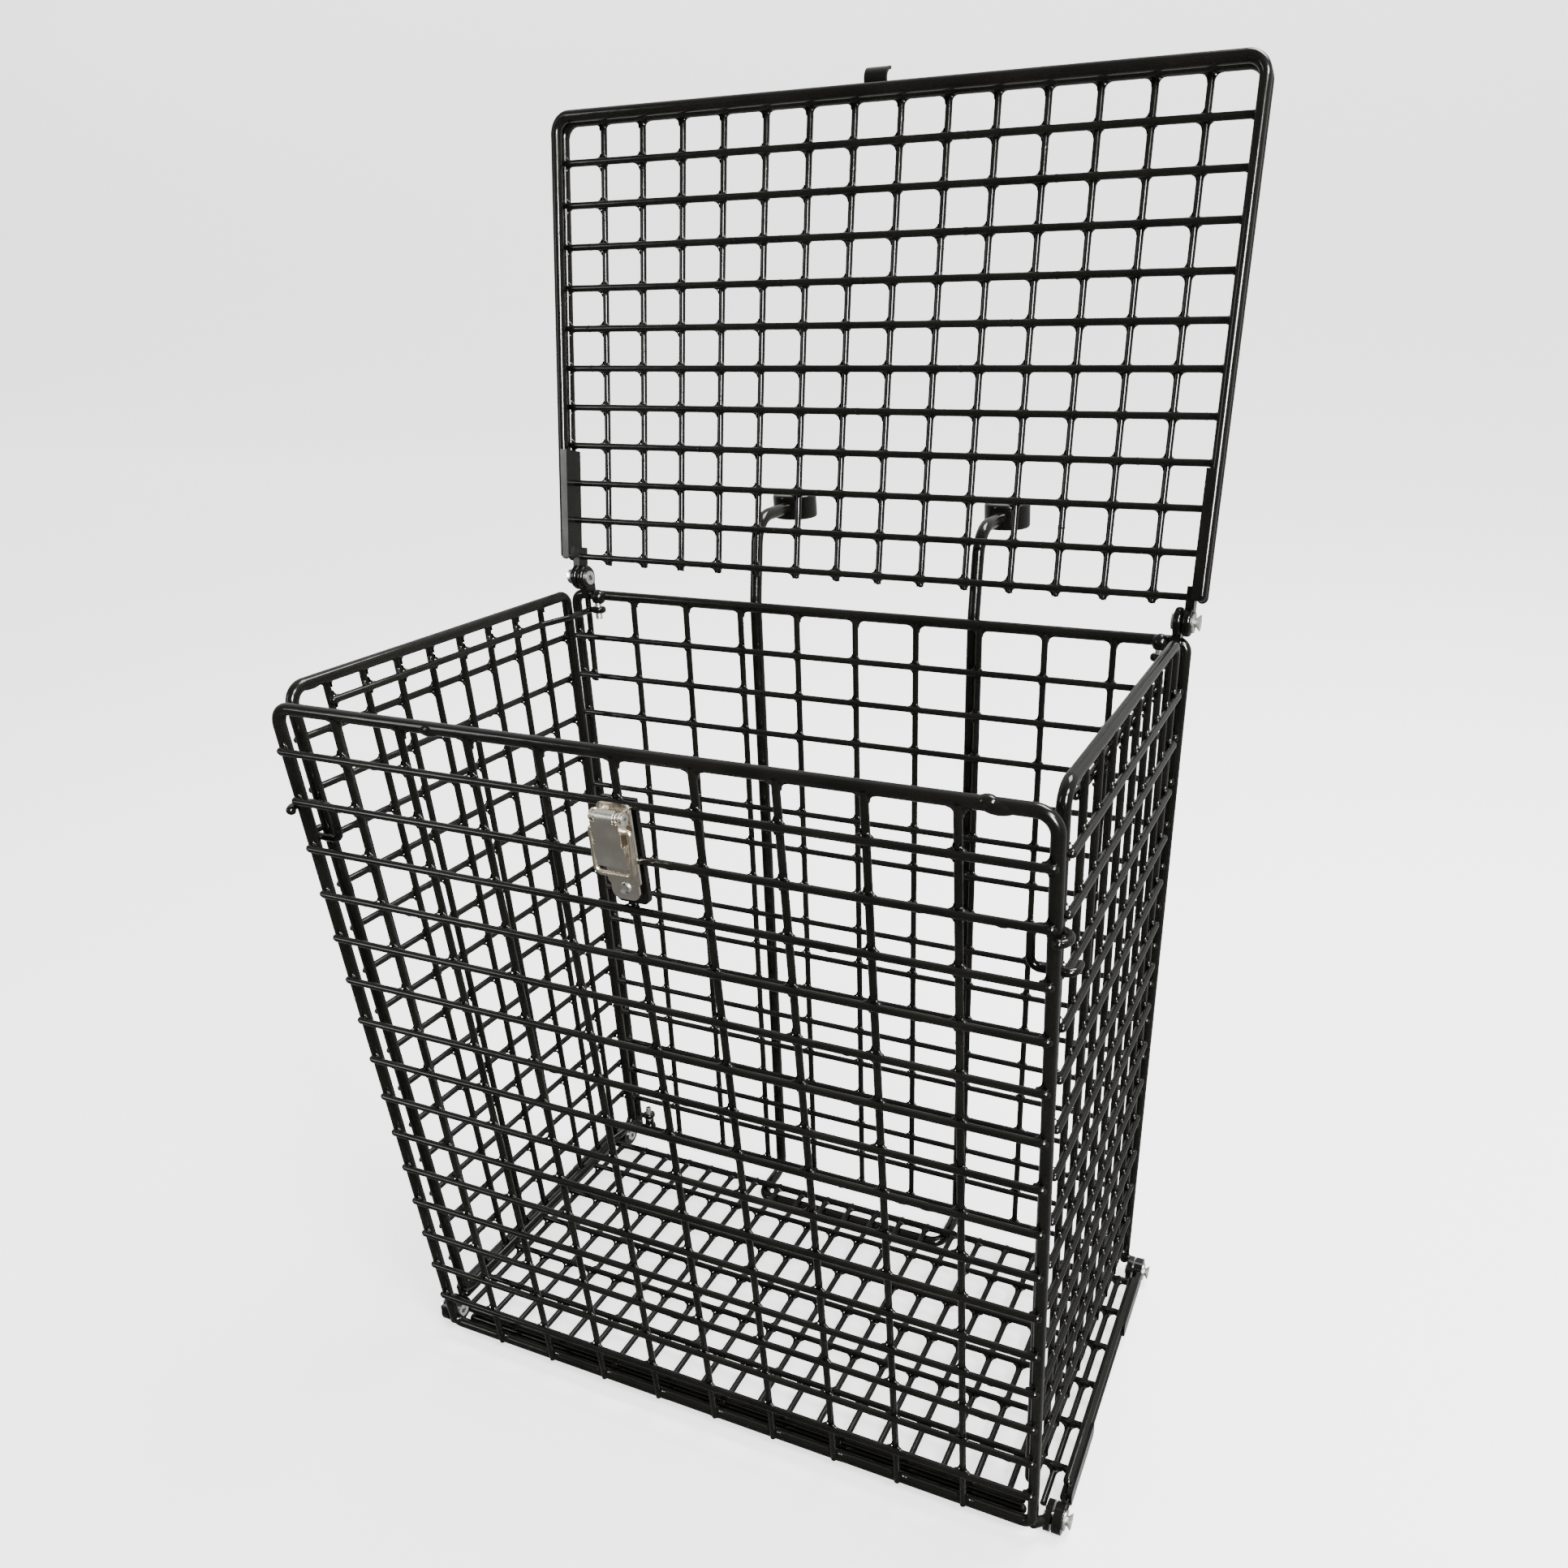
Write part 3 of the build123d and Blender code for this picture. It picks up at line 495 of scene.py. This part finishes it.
def side_webs(side, tag):
    """The same on a side panel, whose uprights fan out toward the back."""
    bm = bmesh.new()
    columns = []
    for k in range(1, 9):
        low_depth = SIDE_FRONT + (SIDE_REAR_LOW - SIDE_FRONT) * k / 9
        high_depth = SIDE_FRONT + (SIDE_REAR_TOP - SIDE_FRONT) * k / 9
        columns.append((low_depth, high_depth))

    def on_column(low_depth, high_depth, height, outward):
        share = (height - SIDE_LOW) / (SIDE_TOP - SIDE_LOW)
        low = side_at(side, low_depth, SIDE_LOW, outward)
        high = side_at(side, high_depth, SIDE_TOP, outward)
        depth = low_depth + (high_depth - low_depth) * share
        return low.lerp(high, share), (high - low).normalized(), depth

    for row in range(14):
        height = SIDE_TOP - SIDE_GAP - row * SIDE_ROW
        for column in columns:
            where, up, _ = on_column(*column, height, BETWEEN)
            web(bm, where, Y_AXIS, up, WIRE, WIRE, CROSS_GAP * side, ALL_CORNERS)
        for depth, sign in ((SIDE_FRONT, 1), (side_rear(height), -1)):
            web(bm, side_at(side, depth, height, POST_OFF), Y_AXIS, Z_AXIS, WIRE, POST, POST_GAP * side,
                ((sign, 1), (sign, -1)))
            blob(bm, side_at(side, depth + sign, height, LAP - 0.2), Y_AXIS, 2.6, WIRE + 0.25)
    for column in columns:
        for height, sign in ((SIDE_LOW, 1), (SIDE_TOP, -1)):
            where, up, _ = on_column(*column, height, RAIL_OFF)
            web(bm, where, Y_AXIS, up, RAIL, WIRE, 0.0, ((1, sign), (-1, sign)), RAIL_WEB)
    for height, first in ((RING_TOP, 34.0), (RING_LOW, 150.0)):
        for column in columns:
            where, up, depth = on_column(*column, height, 0.3)
            if first - 3 <= depth <= side_rear(height) - 24 and height > SIDE_LOW + 8:
                corners = ALL_CORNERS if depth > first + 4 else ((1, 1), (1, -1))
                web(bm, where, Y_AXIS, up, WIRE, WIRE, -2.0 * side, corners)
    new_piece(tag + "_coating_webs", bm, tag)


def lid_webs():
    """The same on the lid, with the rounded ends of its wires."""
    bm = bmesh.new()
    along = (lid_at(0, 100) - lid_at(0, 0)).normalized()
    toward = (lid_at(0, 0, 10) - lid_at(0, 0, 0)).normalized()
    step = LID_LENGTH / 11
    across = [-LID_HALF + k * LID_HALF * 2 / 15 for k in range(1, 15)]
    sign = 1.0 if X_AXIS.cross(along).dot(toward) > 0 else -1.0
    for row in range(0, 11):
        for x in across:
            web(bm, lid_at(x, row * step, -0.05), X_AXIS, along, WIRE, WIRE, 2.9 * sign, ALL_CORNERS)
        if row:
            for side in (-1, 1):
                web(bm, lid_at(side * LID_HALF, row * step, 0.7), X_AXIS, along, WIRE, RAIL, 0.6 * sign,
                    ((-side, 1), (-side, -1)))
    for x in across:
        web(bm, lid_at(x, LID_LENGTH, -0.7), X_AXIS, along, RAIL, WIRE, 0.0, ((1, -1), (-1, -1)), 3.4)
        blob(bm, lid_at(x, -3.2, LID_LONG), along, TIP, WIRE)
    for side in (-1, 1):
        for row in range(1, 11):
            blob(bm, lid_at(side * (LID_HALF + 1), row * step, LID_CROSS), X_AXIS, 1.5, WIRE)
    new_piece("lid_coating_webs", bm, "lid")


def floor_webs():
    """The same on the floor's finer grid."""
    bm = bmesh.new()
    step = (FLOOR_REAR - FLOOR_FRONT) / 6
    low = FLOOR_HEIGHT + 0.2
    for row in range(1, 6):
        depth = FLOOR_FRONT + row * step
        for k in range(-10, 11):
            crossing = at(k * FLOOR_PITCH, depth, low + 1.45)
            web(bm, crossing, X_AXIS, Y_AXIS, WIRE, WIRE, 2.9, ALL_CORNERS, FLOOR_WEB)
        for side in (-1, 1):
            web(bm, at(side * FLOOR_X, depth, FLOOR_HEIGHT + 2.2), X_AXIS, Y_AXIS, WIRE, ROD * 0.8, 1.8,
                ((-side, 1), (-side, -1)), FLOOR_WEB)
            blob(bm, at(side * (FLOOR_X + 1.5), depth, low + 2.7), X_AXIS, 1.5, WIRE)
    for k in range(-9, 10):
        web(bm, at(k * FLOOR_PITCH, FLOOR_FRONT, FLOOR_HEIGHT + 0.2), X_AXIS, Y_AXIS, RAIL, WIRE, 0.0,
            ((1, 1), (-1, 1)), 3.0)
    for k in range(-10, 11):
        web(bm, at(k * FLOOR_PITCH, FLOOR_REAR, FLOOR_HEIGHT + 0.4), X_AXIS, Y_AXIS, 2.0, WIRE, 0.0,
            ((1, -1), (-1, -1)), 3.0)
        blob(bm, at(k * FLOOR_PITCH, FLOOR_REAR + 2, low), Y_AXIS, TIP, WIRE)
    new_piece("floor_coating_webs", bm, "floor_panel")


def bead(bm, centre, along, longest, swell):
    """A small lump of random length and girth along a wire."""
    blob(bm, centre, along, RNG.uniform(2.0, longest), WIRE + RNG.uniform(0.0, swell))


def front_beads():
    """Runs on the front's top and lower rails, and beads along its wires."""
    bm = bmesh.new()
    for x, depth, height, length, radius in (
            (163.5, -0.4, TOP + 0.9, 4.6, 3.1),
            (168.0, -0.6, TOP - 0.6, 7.5, 3.2),
            (-97.0, -0.5, TOP - 0.6, 6.0, 3.2),
            (-35.0, 0.3, -0.5, 15.0, 3.15),
            (78.0, 0.2, -0.5, 11.0, 3.15)):
        blob(bm, at(x, depth, height), X_AXIS, length, radius, 14)
    for _ in range(46):
        height = TOP - TOP_GAP - RNG.randrange(15) * ROW
        column = RNG.randrange(-5, 5)
        x = (column + RNG.uniform(0.25, 0.75)) * COLUMN
        bead(bm, at(x, -LAP, height - 0.3), X_AXIS, 6.0, 0.22)
    for _ in range(26):
        x = RNG.randrange(-4, 5) * COLUMN
        height = TOP - TOP_GAP - (RNG.randrange(15) + RNG.uniform(0.3, 0.7)) * ROW
        bead(bm, at(x, -UPRIGHT_LAP, height), Z_AXIS, 5.0, 0.22)
    new_piece("front_coating_beads", bm, "front_panel")


def lid_beads():
    """Beads along the lid's wires, and the coating that has run round the hook tab's foot."""
    bm = bmesh.new()
    along = (lid_at(0, 100) - lid_at(0, 0)).normalized()
    step = LID_LENGTH / 11
    for _ in range(44):
        row, column = RNG.randrange(1, 11), RNG.randrange(15)
        x = -LID_HALF + (column + RNG.uniform(0.3, 0.7)) * LID_HALF * 2 / 15
        bead(bm, lid_at(x, row * step, LID_CROSS), X_AXIS, 5.0, 0.2)
    for _ in range(24):
        row, column = RNG.randrange(0, 11), RNG.randrange(1, 15)
        x = -LID_HALF + column * LID_HALF * 2 / 15
        bead(bm, lid_at(x, (row + RNG.uniform(0.3, 0.7)) * step, LID_LONG), along, 4.0, 0.2)
    foot = lid_at(-0.3, LID_LENGTH, 0)
    for side in (-1, 1):
        blob(bm, foot + X_AXIS * (side * 7.0 * MM) + along * (2.2 * MM), X_AXIS, 3.2, 1.9)
    new_piece("lid_coating_beads", bm, "lid")


def side_beads(side, tag):
    """Beads along a side panel's cross wires, and two runs on its frame rod."""
    bm = bmesh.new()
    for _ in range(26):
        height = SIDE_TOP - SIDE_GAP - RNG.randrange(14) * SIDE_ROW
        share = RNG.uniform(0.08, 0.92)
        depth = SIDE_FRONT + (side_rear(height) - SIDE_FRONT) * share
        bead(bm, side_at(side, depth, height - 0.3, LAP), Y_AXIS, 5.0, 0.2)
    blob(bm, side_at(side, SIDE_FRONT + 12, SIDE_TOP - 0.5), Y_AXIS, 8.0, 3.15, 14)
    blob(bm, side_at(side, SIDE_FRONT + 0.2, 300), Z_AXIS, 10.0, 3.15, 14)
    new_piece(tag + "_coating_beads", bm, tag)


make_camera()
make_materials()
front_webs()
back_webs()
side_webs(1, "side_right")
side_webs(-1, "side_left")
lid_webs()
floor_webs()
front_beads()
lid_beads()
side_beads(1, "side_right")
side_beads(-1, "side_left")
make_stage()
make_sky()
make_lamps()
